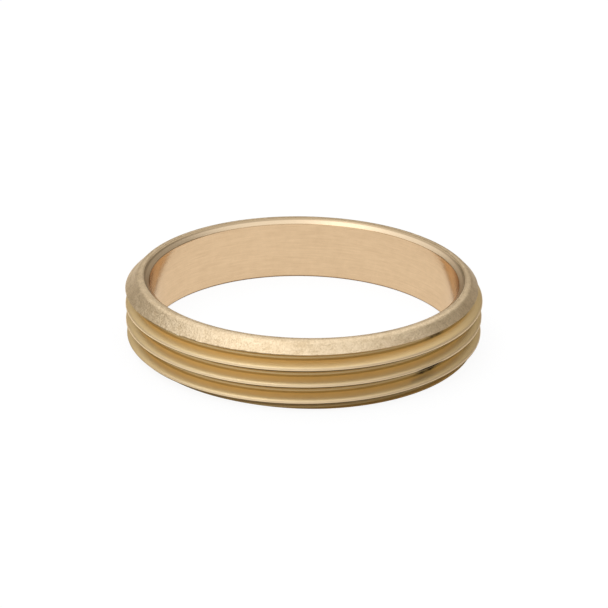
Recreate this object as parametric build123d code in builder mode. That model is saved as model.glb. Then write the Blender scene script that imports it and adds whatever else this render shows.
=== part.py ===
"""Threaded brass ring of a drain, waste and vent (DWV) pipe adapter.

The ring is turned from one piece of brass. Its plain bore slips over a copper drain tube and is
soldered there, and its outside carries a coarse right-hand thread for a slip-joint nut.
The bottom face lies on Z = 0, the ring's axis is Z and the front is -Y. Lengths are in millimetres.
"""

from build123d import *
from math import ceil, radians, tan
import os

# Ring
bore_diameter = 41.5
wall = 3.25
ring_height = 9.05

# Edges
land_width = 0.85
land_dish = 0.05
top_bevel_angle = 45.0
bore_top_chamfer = 0.7
bore_bottom_chamfer = 0.25
foot_chamfer = 1.1

# Thread
thread_pitch = 2.209
crest_width = 0.45
root_width = 0.2
flank_angle = 30.0
first_crest_drop = 0.77

# Sizes that follow from those above
bore_radius = bore_diameter / 2
crest_radius = bore_radius + wall
rim_radius = bore_radius + bore_top_chamfer
land_radius = rim_radius + land_width
rim_height = ring_height - land_dish
bevel_height = (crest_radius - land_radius) * tan(radians(top_bevel_angle))
flank_slope = tan(radians(flank_angle))
thread_depth = (thread_pitch - crest_width - root_width) / 2 / flank_slope
root_radius = crest_radius - thread_depth

# The groove's middle passes the front, at -Y, half a crest and half a pitch below the first
# crest's upper edge. It rises by one pitch in each turn towards +X. It is cut in passes of one
# turn, the first from +X below the bottom face and the last past the top, so that the groove runs
# out through the foot and through the bevel. Each pass overlaps the next a little.
groove_at_front = ring_height - first_crest_drop - (thread_pitch + crest_width) / 2
groove_at_side = groove_at_front + thread_pitch / 4
groove_start = groove_at_side - ceil(groove_at_side / thread_pitch + 0.5) * thread_pitch
pass_rise = thread_pitch + root_width / 10

# Half widths of the groove at its root and at its mouth, a little outside the crests
overcut = crest_width / 4 / flank_slope
root_half = root_width / 2
mouth_half = root_half + (thread_depth + overcut) * flank_slope
pass_count = ceil((ring_height + mouth_half - groove_start) / thread_pitch)

with BuildPart() as threaded_ring:
    # Half of the ring's section, turned about the axis
    with BuildSketch(Plane.XZ):
        with BuildLine():
            Polyline(
                (bore_radius, bore_bottom_chamfer),
                (bore_radius + bore_bottom_chamfer, 0),
                (crest_radius - foot_chamfer, 0),
                (crest_radius, foot_chamfer),
                (crest_radius, ring_height - bevel_height),
                (land_radius, ring_height),
                (rim_radius, rim_height),
                (bore_radius, rim_height - bore_top_chamfer),
                close=True,
            )
        make_face()
    revolve(axis=Axis.Z)

    # The thread groove, one helical pass for each turn
    for pass_number in range(pass_count):
        pass_start = groove_start + pass_number * thread_pitch
        with BuildLine() as cutter_path:
            Helix(thread_pitch, pass_rise, crest_radius, center=(0, 0, pass_start))
        with BuildSketch(Plane.XZ):
            with BuildLine():
                Polyline(
                    (root_radius, pass_start - root_half),
                    (crest_radius + overcut, pass_start - mouth_half),
                    (crest_radius + overcut, pass_start + mouth_half),
                    (root_radius, pass_start + root_half),
                    close=True,
                )
            make_face()
        sweep(path=cutter_path.line, is_frenet=True, mode=Mode.SUBTRACT)

threaded_ring.part.label = "threaded_ring"

os.makedirs("parts", exist_ok=True)
export_step(threaded_ring.part, "parts/threaded_ring.step")

print("thread outside diameter", round(2 * crest_radius, 2), "thread depth", round(thread_depth, 3))
print("volume", round(threaded_ring.part.volume, 1), "cubic mm")
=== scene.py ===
# %% [markdown]
# # The threaded brass ring of a drain pipe adapter
# The real part is a short ring turned from brass: a plain bore for a copper tube, a bevel on top and a
# coarse right-hand thread outside. The packed solid gives its place and size and could be shown as it is,
# but the thin highlights on a thread come from its small rounded edges, which the coarse triangles of the
# solid do not have. So the same ring is worked out again here as one fine surface.

# %% Frame
from math import cos, radians, sin, tan

import bmesh
import bpy
import numpy as np
from mathutils import Matrix, Vector


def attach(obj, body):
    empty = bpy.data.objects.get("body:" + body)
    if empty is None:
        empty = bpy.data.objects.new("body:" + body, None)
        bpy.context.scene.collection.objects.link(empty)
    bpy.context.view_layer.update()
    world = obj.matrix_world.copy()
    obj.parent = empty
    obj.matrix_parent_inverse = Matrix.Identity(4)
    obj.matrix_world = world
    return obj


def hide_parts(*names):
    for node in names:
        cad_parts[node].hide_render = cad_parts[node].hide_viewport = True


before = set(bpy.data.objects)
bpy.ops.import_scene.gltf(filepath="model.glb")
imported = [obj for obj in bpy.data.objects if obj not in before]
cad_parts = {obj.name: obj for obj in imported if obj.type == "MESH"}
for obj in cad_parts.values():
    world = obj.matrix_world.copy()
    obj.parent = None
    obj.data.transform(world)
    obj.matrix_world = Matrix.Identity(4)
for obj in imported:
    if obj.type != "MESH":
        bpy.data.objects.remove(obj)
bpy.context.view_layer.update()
MM = 0.001

# %% [markdown]
# ## Sizes
# A machinist cuts the real ring from a few numbers: bore, height, bevel, pitch, crest, root and flank
# angle. They could be measured on the packed mesh, but a thread is easier to redraw from the numbers
# themselves, in millimetres. They are the solid's driving sizes, except for the widths of the crest and
# the root and the drop to the first crest, which were fitted more closely to the photograph.

# %% Sizes of the ring
BORE_R, CREST_R, HEIGHT = 20.75, 24.0, 9.05
LAND, DISH, CHAMFER, BOTTOM_CHAMFER, FOOT = 0.85, 0.05, 0.7, 0.25, 1.1
PITCH, CREST, ROOT, FLANK = 2.209, 0.32, 0.28, radians(30)
CREST_DROP = 0.90

RIM_R, RIM_Z = BORE_R + CHAMFER, HEIGHT - DISH
LAND_R = RIM_R + LAND
SLOPE = tan(FLANK)
MOUTH = (PITCH - CREST) / 2
DEPTH = (MOUTH - ROOT / 2) / SLOPE
GROOVE_FRONT = HEIGHT - CREST_DROP - (PITCH + CREST) / 2
print("thread depth", round(DEPTH, 3), "bevel", round(CREST_R - LAND_R, 2))

# %% [markdown]
# ## The outside
# A lathe cuts the outside as the least of a few simple surfaces: the crest cylinder less the helical
# groove, the cone of the bevel and the cone of the foot. So the radius is written as a function of angle
# and height. Where two surfaces meet, a plain minimum would leave a knife edge. A quadratic smooth minimum
# rounds it by a chosen width, as handling does on the real ring. Near the top the groove gets shallower,
# because the bevel in the photograph stays smooth where the groove runs out.

# %% Outside radius
TURN = 2 * np.pi
EDGE = 0.07
CREST_TOP_EDGE, CREST_LOW_EDGE, ROOT_EDGE = 0.18, 0.02, 0.06
RUN_OUT_Z, RUN_OUT = 9.3, 1.3


def smooth_min(a, b, width):
    """The smaller of a and b, less a parabola that rounds the corner where they differ by under width."""
    return np.minimum(a, b) - np.clip(width - np.abs(a - b), 0, None) ** 2 / (4 * width)


def groove_cut(offset):
    """Depth of the groove at a height offset from its middle: a trapezoid with rounded corners."""
    edge = np.where(offset > 0, CREST_LOW_EDGE, CREST_TOP_EDGE)
    inside = MOUTH - np.abs(offset)
    ramp = np.where(np.abs(inside) < edge, (inside + edge) ** 2 / (4 * edge), np.clip(inside, 0, None))
    return smooth_min(ramp / SLOPE, DEPTH, ROOT_EDGE)


def outside_radius(angle, height):
    """Smooth minimum of threaded cylinder, bevel cone and foot cone, by angle from the front and height."""
    turns = np.round((height - GROOVE_FRONT) / PITCH - angle / TURN)
    along = angle + TURN * turns
    ending = np.clip((RUN_OUT_Z - height) / RUN_OUT, 0, 1)
    thread = CREST_R - groove_cut(height - GROOVE_FRONT - PITCH * along / TURN) * ending
    bevel = LAND_R + HEIGHT - height
    foot = CREST_R - FOOT + height
    return smooth_min(smooth_min(thread, bevel, EDGE), foot, EDGE)


print("front radii", outside_radius(np.zeros(4), np.array([1.0, 3.0, 5.0, 7.0])).round(2))

# %% [markdown]
# ## Rows of the grid
# On the real ring the thread's edges are clean lines, and an even grid would cut them into steps. So each
# column of the grid gets its rows where the edges are: rows that climb with the groove, level rows at the
# bevel and the foot, and rows where the bevel and the foot cut the flanks. Sorting them by height keeps
# the grid in order, and rows that fall outside the ring collapse on its ends, to be welded later.

# %% Rows
# As many columns as keep the ring under 200,000 triangles
COLUMNS = 450
TOP_ROUND = 0.30
BEVEL_Z = HEIGHT - (CREST_R - LAND_R)
TURNS = range(-4, 2)
# Rows near an edge, in widths of its rounding, and that width where a cone cuts the groove
STEPS = np.array([-1.6, -1.0, -0.5, 0.0, 0.5, 1.0, 1.6])
CUT_EDGE = 0.03
# Rows on a flank, in shares of it, near a corner of the root, and above the bevel's lower edge
FLANK_ROWS = np.linspace(0.2, 0.8, 4)
ROOT_ROWS = np.array([-0.05, 0.0, 0.06])
BEVEL_ROWS = np.arange(0.3, 1.5, 0.3)
angle = np.linspace(0, TURN, COLUMNS + 1)[:, None]


def in_columns(values):
    """The same row of values in every column of the grid."""
    return np.tile(values, (COLUMNS + 1, 1))


def groove_rows(turn):
    """Heights of the rows of one turn of the groove: edges, flanks and root, and where the cones cut it."""
    middle = GROOVE_FRONT + PITCH * (angle / TURN + turn)
    flank = FLANK_ROWS * (MOUTH - ROOT / 2) + ROOT / 2
    corner = ROOT_ROWS + ROOT / 2
    crest_above = MOUTH + CREST_LOW_EDGE * STEPS
    crest_below = -MOUTH + CREST_TOP_EDGE * STEPS
    climbing = np.concatenate([crest_above, flank, corner, [0.0], -corner, -flank, crest_below])
    bevel = LAND_R + HEIGHT - middle - CREST_R + MOUTH / SLOPE
    foot = MOUTH / SLOPE - FOOT + middle
    cuts = [
        np.clip(bevel / (1 / SLOPE + 1), ROOT / 2, MOUTH),
        np.clip(-bevel / (1 / SLOPE - 1), -MOUTH, -ROOT / 2),
        np.clip(foot / (1 / SLOPE - 1), ROOT / 2, MOUTH),
        np.clip(-foot / (1 / SLOPE + 1), -MOUTH, -ROOT / 2),
    ]
    return middle + np.concatenate([in_columns(climbing)] + [cut + CUT_EDGE * STEPS for cut in cuts], 1)


level = np.concatenate([[0.0, HEIGHT], FOOT + EDGE * STEPS, BEVEL_Z + EDGE * STEPS, BEVEL_Z + BEVEL_ROWS])
rows = np.concatenate([groove_rows(turn) for turn in TURNS] + [in_columns(level)], 1)
rows = np.sort(np.clip(rows, 0, HEIGHT - TOP_ROUND), 1)
print("columns", COLUMNS, "rows before welding", rows.shape[1])

# %% [markdown]
# ## Top, bore and bottom
# The rest of the section is the same all round: over the top edge, across the dished land, down the
# chamfer and the bore, and under the bottom face. It could be spun by a Screw modifier. Here it is carried
# round the axis in the same columns as the outside, so that the two join without a seam. Its corners are
# rounded with short Bezier arcs, the largest on the outer top corner, which is worn the most.

# %% Section of the inside
# The section starts a little way down the bevel and ends on the bottom face, inside the thread
DOWN_BEVEL, UNDER_THREAD, ARC_POINTS = 0.5, 0.4, 5
ROUNDS = np.array([TOP_ROUND * 2 ** 0.5, 0.12, 0.03, 0.05, 0.05])
corners = np.array([
    (LAND_R + DOWN_BEVEL, HEIGHT - DOWN_BEVEL),
    (LAND_R, HEIGHT),
    (RIM_R, RIM_Z),
    (BORE_R, RIM_Z - CHAMFER),
    (BORE_R, BOTTOM_CHAMFER),
    (BORE_R + BOTTOM_CHAMFER, 0.0),
    (CREST_R - DEPTH - UNDER_THREAD, 0.0),
])


def rounded_section(points, rounds):
    """Inner corners replaced by quadratic Bezier arcs that start and end one round before and after each."""
    here, before, after = points[1:-1], points[:-2], points[2:]
    to_before = (before - here) / np.linalg.norm(before - here, axis=1, keepdims=True)
    to_after = (after - here) / np.linalg.norm(after - here, axis=1, keepdims=True)
    first = (here + to_before * rounds[:, None])[:, None]
    last = (here + to_after * rounds[:, None])[:, None]
    t = np.linspace(0, 1, ARC_POINTS)[None, :, None]
    arcs = (1 - t) ** 2 * first + 2 * t * (1 - t) * here[:, None] + t ** 2 * last
    return arcs.reshape(-1, 2)


section = np.concatenate([rounded_section(corners, ROUNDS)[1:], corners[-1:]])
print("section points", len(section))

# %% [markdown]
# ## Points and faces
# The rows of the outside and the section form one closed loop in each column. Turned round the axis, the
# loops are the points of the ring, and every cell between two loops is a face. Blender could be asked to
# bridge the loops, but numbering the cells of a grid is quicker and always gives the same mesh.

# %% Points and faces
radius = np.concatenate([outside_radius(angle, rows), in_columns(section[:, 0])], 1)
height = np.concatenate([rows, in_columns(section[:, 1])], 1)
points = np.stack([radius * np.sin(angle), -radius * np.cos(angle), height], -1) * MM


def grid_faces(count, length, closed):
    """Four point numbers for each cell between columns of one length, which may be closed to loops."""
    cells = length if closed else length - 1
    column, row = np.meshgrid(np.arange(count - 1), np.arange(cells), indexing="ij")
    above = (row + 1) % length
    here, beside = column * length, (column + 1) * length
    return np.stack([here + row, beside + row, beside + above, here + above], -1).reshape(-1, 4)


ring_faces = grid_faces(COLUMNS + 1, radius.shape[1], closed=True)
print("grid", points.shape[:2], "faces before welding", len(ring_faces))

# %% [markdown]
# ## Meshes from arrays
# Both the ring and the table start as whole arrays of points and faces. Blender can take a mesh point by
# point, but foreach_set copies an array at once, which matters with this many points.

# %% Mesh from arrays


def mesh_from(name, coordinates, faces):
    """Mesh of whole arrays: points as rows of x, y, z and faces as rows of four point numbers."""
    mesh = bpy.data.meshes.new(name)
    mesh.vertices.add(len(coordinates))
    mesh.vertices.foreach_set("co", coordinates.astype(np.float32).ravel())
    mesh.loops.add(faces.size)
    mesh.loops.foreach_set("vertex_index", faces.astype(np.int32).ravel())
    mesh.polygons.add(len(faces))
    mesh.polygons.foreach_set("loop_start", np.arange(0, faces.size, faces.shape[1], dtype=np.int32))
    mesh.update(calc_edges=True)
    return mesh


ring_mesh = mesh_from("turned_ring", points.reshape(-1, 3), ring_faces)
print("ring before welding", len(ring_mesh.vertices), "points")

# %% [markdown]
# ## Closing the ring
# The last column lies on the first one, where the thread has climbed by one pitch. The columns could be
# matched by hand, but welding all points that fall together closes the ring and removes the collapsed
# rows at the same time. Normals weighted by face area keep the flats of the turned faces flat.

# %% Ring object
WELD = 0.004 * MM
NORMAL_WEIGHT = 70


def welded(mesh, distance):
    """Joins points closer than the distance, drops faces without area, shades smooth, counts open edges."""
    work = bmesh.new()
    work.from_mesh(mesh)
    bmesh.ops.remove_doubles(work, verts=work.verts, dist=distance)
    bmesh.ops.dissolve_degenerate(work, edges=work.edges, dist=distance / 10)
    open_edges = sum(not edge.is_manifold for edge in work.edges)
    work.to_mesh(mesh)
    work.free()
    mesh.polygons.foreach_set("use_smooth", np.ones(len(mesh.polygons), bool))
    return open_edges


open_edges = welded(ring_mesh, WELD)
ring = bpy.data.objects.new("turned_ring", ring_mesh)
bpy.context.scene.collection.objects.link(ring)
even = ring.modifiers.new("even_normals", "WEIGHTED_NORMAL")
even.mode, even.weight, even.keep_sharp = "FACE_AREA", NORMAL_WEIGHT, False
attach(ring, "root")
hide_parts("threaded_ring")
triangles = sum(len(face.vertices) - 2 for face in ring_mesh.polygons)
print("ring", len(ring_mesh.vertices), "points", triangles, "triangles, open edges", open_edges)

# %% [markdown]
# ## Writing shaders as sums
# Real brass shows many small effects at once, and a material that follows them needs many Math nodes.
# They could be placed by hand in the node editor. Here one small class wraps a socket, so that a sum such
# as 1 - mask * 0.5 adds those nodes by itself, and one method makes every other node.

# %% Shader sums
# A Mix node has sockets for numbers, vectors and colours, and these are the ones for colours
MIX_LOW, MIX_HIGH, MIX_COLOUR = 6, 7, 2


class Wire:
    """An output socket that can be used in Python sums."""

    def __init__(self, tree, socket=None):
        self.tree, self.socket = tree, socket

    def node(self, kind, settings=(), sockets=(), out=0):
        """A new node: first its settings, then a value or a link for each socket. Returns one output."""
        made = self.tree.nodes.new("ShaderNode" + kind)
        for name, value in dict(settings).items():
            setattr(made, name, value)
        for key, value in dict(sockets).items():
            if isinstance(value, Wire):
                self.tree.links.new(value.socket, made.inputs[key])
            else:
                made.inputs[key].default_value = value
        return Wire(self.tree, made.outputs[out])

    def outputs(self, *names):
        """Wires to several outputs of the node that this wire comes from."""
        return [Wire(self.tree, self.socket.node.outputs[name]) for name in names]

    def math(self, operation, *values):
        """A Math node with the operation, fed with the values in their order."""
        return self.node("Math", {"operation": operation}, enumerate(values))

    def __add__(self, other):
        return self.math("ADD", self, other)

    def __sub__(self, other):
        return self.math("SUBTRACT", self, other)

    def __rsub__(self, other):
        return self.math("SUBTRACT", other, self)

    def __mul__(self, other):
        return self.math("MULTIPLY", self, other)

    def __truediv__(self, other):
        return self.math("DIVIDE", self, other)

    def __abs__(self):
        return self.math("ABSOLUTE", self)

    __radd__, __rmul__ = __add__, __mul__

    def larger(self, other):
        """The larger of two values."""
        return self.math("MAXIMUM", self, other)

    def between(self, low, high):
        """0 below low, 1 above high and a smooth step in between."""
        ends = {"Value": self, "From Min": low, "From Max": high, "To Min": 0.0, "To Max": 1.0}
        return self.node("MapRange", {"interpolation_type": "SMOOTHSTEP"}, ends)

    def band(self, rise, fall):
        """A band of 1 that rises smoothly over one range of values and falls over another."""
        return self.between(*rise) * (1 - self.between(*fall))

    def mixed(self, low, high):
        """A colour that goes from low to high with this value."""
        return self.node("Mix", {"data_type": "RGBA"}, {0: self, MIX_LOW: low, MIX_HIGH: high}, MIX_COLOUR)


def new_material(name):
    """An empty material, its Principled shader and a wire to start sums from."""
    material = bpy.data.materials.new(name)
    material.use_nodes = True
    tree = material.node_tree
    return material, tree.nodes["Principled BSDF"], Wire(tree)


print("a wire has", [name for name in vars(Wire) if not name.startswith("_")])

# %% [markdown]
# ## Places on the ring
# The real ring is one metal with a different finish on each face. Each face could have its own material,
# but one brass that knows where it is changes softly at the edges. It works from Object coordinates, so
# every pattern stays on the ring from any side. Four numbers say where a point is: its distance from the
# axis, its height, its share of a turn from the front, and its height above the middle of the groove.

# %% Places on the ring
brass, finish, start = new_material("turned_brass")
place = start.node("TexCoord", out="Object")
x_axis, y_axis, z_axis = start.node("SeparateXYZ", sockets={0: place}).outputs("X", "Y", "Z")
distance = start.math("SQRT", x_axis * x_axis + y_axis * y_axis) / MM
level_z = z_axis / MM
turned = start.math("ARCTAN2", x_axis, 0 - y_axis) / TURN
# Half a pitch added before FRACT and taken off after it measures from the nearest turn of the groove
offset = (start.math("FRACT", (level_z - GROOVE_FRONT) / PITCH - turned + 0.5) - 0.5) * PITCH
print("nodes for places", len(brass.node_tree.nodes))

# %% [markdown]
# ## Faces of the ring
# The bore was bored, the top faced and the thread cut, so each face needs a mask: 1 on it and 0 elsewhere.
# Masks could be painted on the points of the mesh, but a smooth step of a distance or a height follows
# the sizes of the ring by itself. The small numbers are the ends of those steps, in millimetres.

# %% Faces of the ring
in_bore = 1 - distance.between(BORE_R + 0.02, BORE_R + 0.10)
on_slope = (level_z + distance).between(HEIGHT + LAND_R - 0.16, HEIGHT + LAND_R - 0.04)
near_top = level_z.between(HEIGHT - 0.65, HEIGHT - 0.55)
on_bevel = distance.between(RIM_R, RIM_R + 0.1) * on_slope.larger(near_top)
on_thread = distance.between(BORE_R + 1.0, BORE_R + 1.3) * (1 - on_bevel)
below_rim = level_z.between(HEIGHT - 1.2, HEIGHT - 0.7)
on_chamfer = (1 - distance.between(RIM_R - 0.08, RIM_R)) * below_rim * (1 - in_bore)
outside = distance.between(CREST_R - 1.5, CREST_R - 1.3)
print("nodes with masks", len(brass.node_tree.nodes))

# %% [markdown]
# ## Unevenness
# Brass from the lathe is never one flat colour. It drifts over the ring, it has a mottle of about a
# millimetre and a fine grain, and the tool leaves lines round it. A picture could hold all this, but noise
# worked out from the place has no seams. Noise that changes fast along the axis and slowly across it
# makes the tool's lines. Each pattern swings about 0, so that it can be added without a change of level.

# %% Unevenness


def noise(scale, detail, factors=(1, 1, 1)):
    """Noise about 0 with a number of grains to the millimetre, times a factor for each axis."""
    spot = start.node("Mapping", sockets={"Vector": place, "Scale": tuple(f / MM for f in factors)})
    return start.node("TexNoise", sockets={"Vector": spot, "Scale": scale, "Detail": detail}) - 0.5


drift = noise(scale=0.12, detail=3.0)
grain = noise(scale=4.0, detail=3.0)
mottle = noise(scale=0.9, detail=4.0)
streaks = noise(scale=1.0, detail=4.0, factors=(0.3, 0.3, 4.5))
# How far each pattern moves the brass from its darker colour, at 0, to its lighter one, at 1
tone = drift * 0.6 + 0.5 + grain * 0.5 + mottle * 0.9
print("nodes with noise", len(brass.node_tree.nodes))

# %% [markdown]
# ## Colour of the thread
# On the real thread the crests are rubbed pale and the flanks are golden. Painted shade darkens the flanks
# a little toward the root, lies as dark lines under each crest and along the root, and darkens the foot.
# One colour would look like plastic, and separate pieces for each line would leave gaps. So the depth and
# the height above the groove's middle choose between a few colours, and the unevenness shifts the places
# where they change.

# %% Colour of the thread
PLAIN_DARK, PLAIN_LIGHT = (0.78, 0.58, 0.35, 1), (0.88, 0.67, 0.42, 1)
FLANK_HIGH, FLANK_DEEP_SHADE = (0.92, 0.70, 0.37, 1), (0.89, 0.67, 0.335, 1)
CREST_PALE = (0.96, 0.75, 0.47, 1)
# Colours of painted shade: under each crest and along the root, and on the foot
GROOVE_SHADE, FOOT_SHADE = (0.17, 0.11, 0.045, 1), (0.40, 0.28, 0.14, 1)
ROOT_LOW, ROOT_HIGH = -ROOT / 2, ROOT / 2

# Painted shade: the flank's colour goes a little darker toward the root
deep = 1 - distance.between(CREST_R - DEPTH, CREST_R - 0.1)
flank = (deep + (tone - 0.5) * 0.9).mixed(FLANK_HIGH, FLANK_DEEP_SHADE)
on_crest = distance.between(CREST_R - 0.25, CREST_R - 0.02)
by_depth = on_crest.mixed(flank, CREST_PALE)

# Painted shade: dark lines under each crest's lower edge and along the root
under_crest = offset.band((MOUTH - 0.40, MOUTH - 0.30), (MOUTH + 0.03, MOUTH + 0.10))
below_root = offset.band((ROOT_LOW - 0.20, ROOT_LOW - 0.12), (ROOT_LOW - 0.04, ROOT_LOW))
at_root = 1 - abs(offset).between(ROOT_HIGH - 0.04, ROOT_HIGH + 0.06)
root_line = (below_root * 0.45).larger(at_root * 0.35)
groove_shaded = under_crest.larger(root_line).mixed(by_depth, GROOVE_SHADE)
# Painted shade: the foot, next to the table, is darker
at_foot = 1 - level_z.between(FOOT - 0.3, FOOT + 0.1)
foot_shaded = (at_foot * 0.35).mixed(groove_shaded, FOOT_SHADE)
threaded = on_thread.mixed(tone.mixed(PLAIN_DARK, PLAIN_LIGHT), foot_shaded)
print("nodes with the thread's colour", len(brass.node_tree.nodes))

# %% [markdown]
# ## Colour of the bore and the top
# The real bore is a little browner than the thread and lined by the tool. Its chamfer is pale and the bevel
# is speckled. A thin dark line of painted shade runs along the rim, at the back only. Each is laid over the
# last colour with its mask, as coats of paint would be, so that any one of them can be changed by itself.

# %% Colour of the bore and the top
CHAMFER_PALE, RIM_SHADE = (0.91, 0.71, 0.475, 1), (0.42, 0.30, 0.17, 1)
BORE_DARK, BORE_LIGHT = (0.65, 0.455, 0.27, 1), (0.75, 0.535, 0.325, 1)
BEVEL_DARK, BEVEL_LIGHT = (0.74, 0.56, 0.34, 1), (0.97, 0.775, 0.52, 1)

chamfered = on_chamfer.mixed(threaded, CHAMFER_PALE)
bored = in_bore.mixed(chamfered, (tone + streaks * 1.5).mixed(BORE_DARK, BORE_LIGHT))
# The bevel shows the same patterns more strongly
speckle = drift * 1.2 + 0.5 + grain * 2.4 + mottle * 1.6
topped = on_bevel.mixed(bored, speckle.mixed(BEVEL_DARK, BEVEL_LIGHT))
# Painted shade: a thin dark line along the inner rim, at the back only
rim_line = distance.band((RIM_R - 0.28, RIM_R - 0.15), (RIM_R + 0.1, RIM_R + 0.4))
at_top = level_z.between(HEIGHT - 0.4, HEIGHT - 0.3)
at_back = (y_axis / MM).between(-9.0, 3.0)
rim_shaded = (rim_line * at_top * at_back * 0.7).mixed(topped, RIM_SHADE)
print("nodes with the top's colour", len(brass.node_tree.nodes))

# %% [markdown]
# ## Worn edge with painted shade, and a painted glint on a burr
# The edge where the bevel meets the groove is worn ragged at the left of the front, and painted dark
# there as the shade under that edge. One small burr there gets a painted highlight, a glint of light. Both
# are too thin to model, so they are colour on the brass. The edge climbs with the groove: its height is
# where the groove's upper flank meets the bevel's cone, worked out from the sizes.

# %% Worn edge with painted shade, and painted burr glint
WORN_EDGE_SHADE, BURR_GLINT = (0.27, 0.18, 0.08, 1), (1.0, 0.93, 0.72, 1)
BURR_TURN = -0.114

groove_z = turned * PITCH + GROOVE_FRONT
edge_z = groove_z + (LAND_R + HEIGHT - CREST_R + MOUTH / SLOPE - groove_z) / (1 / SLOPE + 1)
# Painted shade on the worn edge: dark along it, at the left of the front only
at_edge = outside * (1 - abs(level_z - edge_z + mottle * 0.25).between(0.02, 0.11))
at_left = (x_axis / MM / distance).band((-0.92, -0.80), (-0.15, 0.0))
at_front = (0 - y_axis / MM / distance).between(0.05, 0.30)
edge_shaded = (at_edge * at_left * at_front * 0.85).mixed(rim_shaded, WORN_EDGE_SHADE)
# Painted highlight: a bright glint on one small burr on that edge
burr = at_edge * (1 - abs(turned - BURR_TURN).between(0.0008, 0.002))
burred = burr.mixed(edge_shaded, BURR_GLINT)
print("burr", round(360 * BURR_TURN, 1), "degrees from the front")

# %% [markdown]
# ## Dark marks
# Two short dark marks sit in the thread at the right: one under the second crest and one under the bevel.
# They could be small pieces of their own, but the marks have hardly any thickness. A mark is a stretch of a
# turn by a stretch across the groove, with mottled edges so that it doesn't look drawn, and a range of
# heights picks the right turn of the groove. The first mark lies on the crest's lower edge and in the groove
# below.

# %% Dark marks
# A near-black colour for the dark marks in the thread
DARK_MARK = (0.035, 0.025, 0.015, 1)
MARK_FADE, LOWER_EDGE, UPPER_EDGE, RAGGED = 0.012, 0.1, 0.05, 0.4
MARK_REACH, MARK_STRENGTH = 1.0, 0.85
CREST_MARK_Z, GROOVE_MARK_Z, BEVEL_MARK_Z = 3.69, 2.73, 7.15


def dark_mark_at(turns, offsets, height):
    """Mark between two shares of a turn from the front and two offsets from the groove, near a height."""
    (first, last), (low, high) = turns, offsets
    along = turned.band((first, first + MARK_FADE), (last - MARK_FADE, last))
    rise, fall = (low - LOWER_EDGE, low + LOWER_EDGE), (high - UPPER_EDGE, high + UPPER_EDGE)
    across = (offset + mottle * RAGGED).band(rise, fall)
    bottom, top = height - MARK_REACH, height + MARK_REACH
    return outside * along * across * level_z.band((bottom, bottom + LOWER_EDGE), (top - LOWER_EDGE, top))


on_crest_edge = dark_mark_at(turns=(0.098, 0.136), offsets=(0.5, 1.16), height=CREST_MARK_Z)
in_groove = dark_mark_at(turns=(0.104, 0.142), offsets=(-0.20, 0.3), height=GROOVE_MARK_Z) * MARK_STRENGTH
under_bevel = dark_mark_at(turns=(0.115, 0.148), offsets=(-0.19, 0.3), height=BEVEL_MARK_Z) * MARK_STRENGTH
dark_marks = on_crest_edge.larger(in_groove).larger(under_bevel)
colour = dark_marks.mixed(burred, DARK_MARK)
print("nodes with all colours", len(brass.node_tree.nodes))

# %% [markdown]
# ## Gloss and relief
# The bore is the smoothest face of the real ring and the thread the dullest, and the dark marks and the line
# under each crest are dull. The tool's lines and the bevel's grain are a few hundredths of a millimetre
# deep, so a Bump node is enough for them.
# Gloss is left to the shader and the lamps: only the roughness changes from face to face. Any metal turns
# whiter where it is seen at a slant. One constant tint holds that back, so that the sides stay brass.

# %% Gloss and relief
BORE_ROUGH, BEVEL_ROUGH, THREAD_ROUGH, CHAMFER_ROUGH, MARK_ROUGH = 0.14, 0.25, 0.33, 0.22, 0.3
SLANT_TINT = (0.90, 0.84, 0.76, 1)

by_face = BORE_ROUGH + on_bevel * BEVEL_ROUGH + on_thread * THREAD_ROUGH + on_chamfer * CHAMFER_ROUGH
dull_marks = under_crest * on_thread + dark_marks
rough = by_face + dull_marks * MARK_ROUGH + drift * 0.08 + grain * 0.10 + streaks * in_bore * 0.10
tool_lines = streaks * (in_bore * 0.020 + on_thread * 0.006)
relief = tool_lines + (grain * 0.055 + mottle * 0.03) * on_bevel
bump = start.node("Bump", sockets={"Strength": 1.0, "Distance": MM, "Height": relief})

for name, wire in (("Base Color", colour), ("Roughness", rough), ("Normal", bump)):
    brass.node_tree.links.new(wire.socket, finish.inputs[name])
finish.inputs["Metallic"].default_value = 1.0
finish.inputs["Specular Tint"].default_value = SLANT_TINT
ring_mesh.materials.append(brass)
print("brass nodes", len(brass.node_tree.nodes))

# %% [markdown]
# ## Table
# The ring lies on a plain white table without an edge in view. Blender has a ready plane, but the helpers
# above already make a grid into a mesh, so the table is a flat grid, far wider than the picture.

# %% Table
TABLE_HALF, TABLE_POINTS = 1.2, 25
side = np.linspace(-TABLE_HALF, TABLE_HALF, TABLE_POINTS)
table_x, table_y = np.meshgrid(side, side, indexing="ij")
table_points = np.stack([table_x, table_y, 0 * table_x], -1).reshape(-1, 3)
table_faces = grid_faces(TABLE_POINTS, TABLE_POINTS, closed=False)
floor = bpy.data.objects.new("table", mesh_from("table", table_points, table_faces))
bpy.context.scene.collection.objects.link(floor)
print("table", TABLE_HALF * 2, "m wide")

# %% [markdown]
# ## White of the table
# In the photograph the table is pure white. More light would bleach the brass too, so the Light Path node
# lets the table glow for rays from the camera and from the brass, while it is a plain white surface for
# all other light. A small share of that surface shows to the camera too, and takes the ring's soft shadow.
# Rays from the brass find no glow under the ring and little close to it, where a real table lies in its
# shade. At the right the table shows darker in the brass, as the unlit side of a studio would.

# %% White of the table
TABLE_WHITE, TABLE_ROUGH = (0.9, 0.9, 0.9, 1), 0.8
GLOW, GLOW_SHARE, RIGHT_DIM = 1.07, 0.85, 0.9

white, table_finish, table_start = new_material("white_table")
table_finish.inputs["Base Color"].default_value = TABLE_WHITE
table_finish.inputs["Roughness"].default_value = TABLE_ROUGH
ray_kinds = table_start.node("LightPath")
camera_ray, glossy_ray, through_ray = ray_kinds.outputs(
    "Is Camera Ray", "Is Glossy Ray", "Is Transmission Ray")

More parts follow.
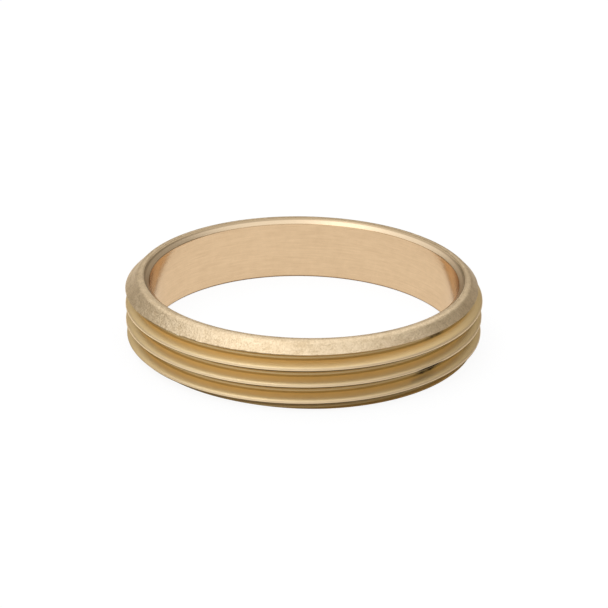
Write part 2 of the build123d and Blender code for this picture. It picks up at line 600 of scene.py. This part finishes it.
table_place = table_start.node("TexCoord", out="Object")
from_axis = table_start.node("VectorMath", {"operation": "LENGTH"}, {0: table_place}, "Value") / MM
to_right = table_start.node("SeparateXYZ", sockets={0: table_place}, out="X") / MM
under_ring = from_axis.band((BORE_R - 0.6, BORE_R), (CREST_R - 2.0, CREST_R + 10.0))
at_right = to_right.between(-18.0, 2.0) * from_axis.between(CREST_R, CREST_R + 2.0)
in_brass = (1 - under_ring) * (1 - at_right * RIGHT_DIM)
seen = table_start.math("MINIMUM", camera_ray + (glossy_ray + through_ray) * in_brass, 1.0) * GLOW_SHARE

glow = table_start.node("Emission", sockets={"Color": (1, 1, 1, 1), "Strength": GLOW})
plain_white = Wire(white.node_tree, table_finish.outputs[0])
shown = table_start.node("MixShader", sockets={0: seen, 1: plain_white, 2: glow})
white.node_tree.links.new(shown.socket, white.node_tree.nodes["Material Output"].inputs["Surface"])
floor.data.materials.append(white)
print("table nodes", len(white.node_tree.nodes))

# %% [markdown]
# ## Light
# The photograph has the soft light of a small studio. A picture of a room could light the ring, but area
# lamps are easier to place and to change. A broad lamp hangs above and a long one stands low in front. Two
# small ones at the left light that side of the thread and make the bright patch at the left of the bevel.
# An even, dim and warm world stands for the rest of the room.

# %% Lamps and world
WORLD_COLOUR, LAMP_COLOUR = (0.28, 0.265, 0.24, 1), (0.96, 1.0, 1.08)
MIDDLE = (0, 0, 0)
scene = bpy.context.scene
scene.view_settings.view_transform = "Standard"
world = bpy.data.worlds.new("studio")
scene.world = world
world.use_nodes = True
world.node_tree.nodes["Background"].inputs["Color"].default_value = WORLD_COLOUR


def area_lamp(name, place, aim, size, power):
    """A rectangular lamp at a place, turned to an aim, with its sides in metres and its power in watts."""
    data = bpy.data.lights.new(name, "AREA")
    data.shape, data.size, data.size_y, data.energy = "RECTANGLE", size[0], size[1], power
    data.color = LAMP_COLOUR
    lamp = bpy.data.objects.new(name, data)
    lamp.location = place
    lamp.rotation_euler = (Vector(aim) - Vector(place)).to_track_quat("-Z", "Y").to_euler()
    scene.collection.objects.link(lamp)


area_lamp("overhead", place=(-0.175, 0.25, 0.6), aim=(-0.175, 0.25, 0), size=(1.45, 1.7), power=5.7)
area_lamp("front", place=(-0.25, -1.1, 0.30), aim=MIDDLE, size=(1.9, 0.6), power=2.0)
area_lamp("left", place=(-0.8, -0.3, 0.45), aim=MIDDLE, size=(0.5, 0.5), power=0.3)
area_lamp("left_front", place=(-0.20, -0.17, 0.55), aim=MIDDLE, size=(0.30, 0.22), power=0.22)

# %% [markdown]
# ## Camera
# The camera could be placed by eye, but its place was worked out from the photograph: the ellipse of the
# rim gives the elevation and the roll, and the way the front and the back of the ring differ in scale
# gives the distance. The lens follows from the focal length and the width of the picture, in pixels.

# %% Camera
ELEVATION, ROLL, DISTANCE = radians(22.956), radians(1.064), 220.37 * MM
AIM = np.array([0.021, 0.0, 4.402]) * MM
PICTURE, FOCAL_PIXELS, SENSOR = 608, 1626.3, 36.0
NEAREST = 10 * MM

ahead = np.array([0, cos(ELEVATION), -sin(ELEVATION)])
level_right, level_up = np.array([1.0, 0, 0]), np.array([0, sin(ELEVATION), cos(ELEVATION)])
right = cos(ROLL) * level_right + sin(ROLL) * level_up
up = cos(ROLL) * level_up - sin(ROLL) * level_right
pose = np.eye(4)
pose[:3] = np.stack([right, up, -ahead, AIM - DISTANCE * ahead], 1)

camera_data = bpy.data.cameras.new("camera")
camera_data.sensor_width = SENSOR
camera_data.lens = FOCAL_PIXELS / PICTURE * SENSOR
camera_data.clip_start = NEAREST
camera = bpy.data.objects.new("camera", camera_data)
camera.matrix_world = Matrix(pose.tolist())
scene.collection.objects.link(camera)
scene.camera = camera
print("camera at", [round(v, 4) for v in camera.matrix_world.translation])

# %% [markdown]
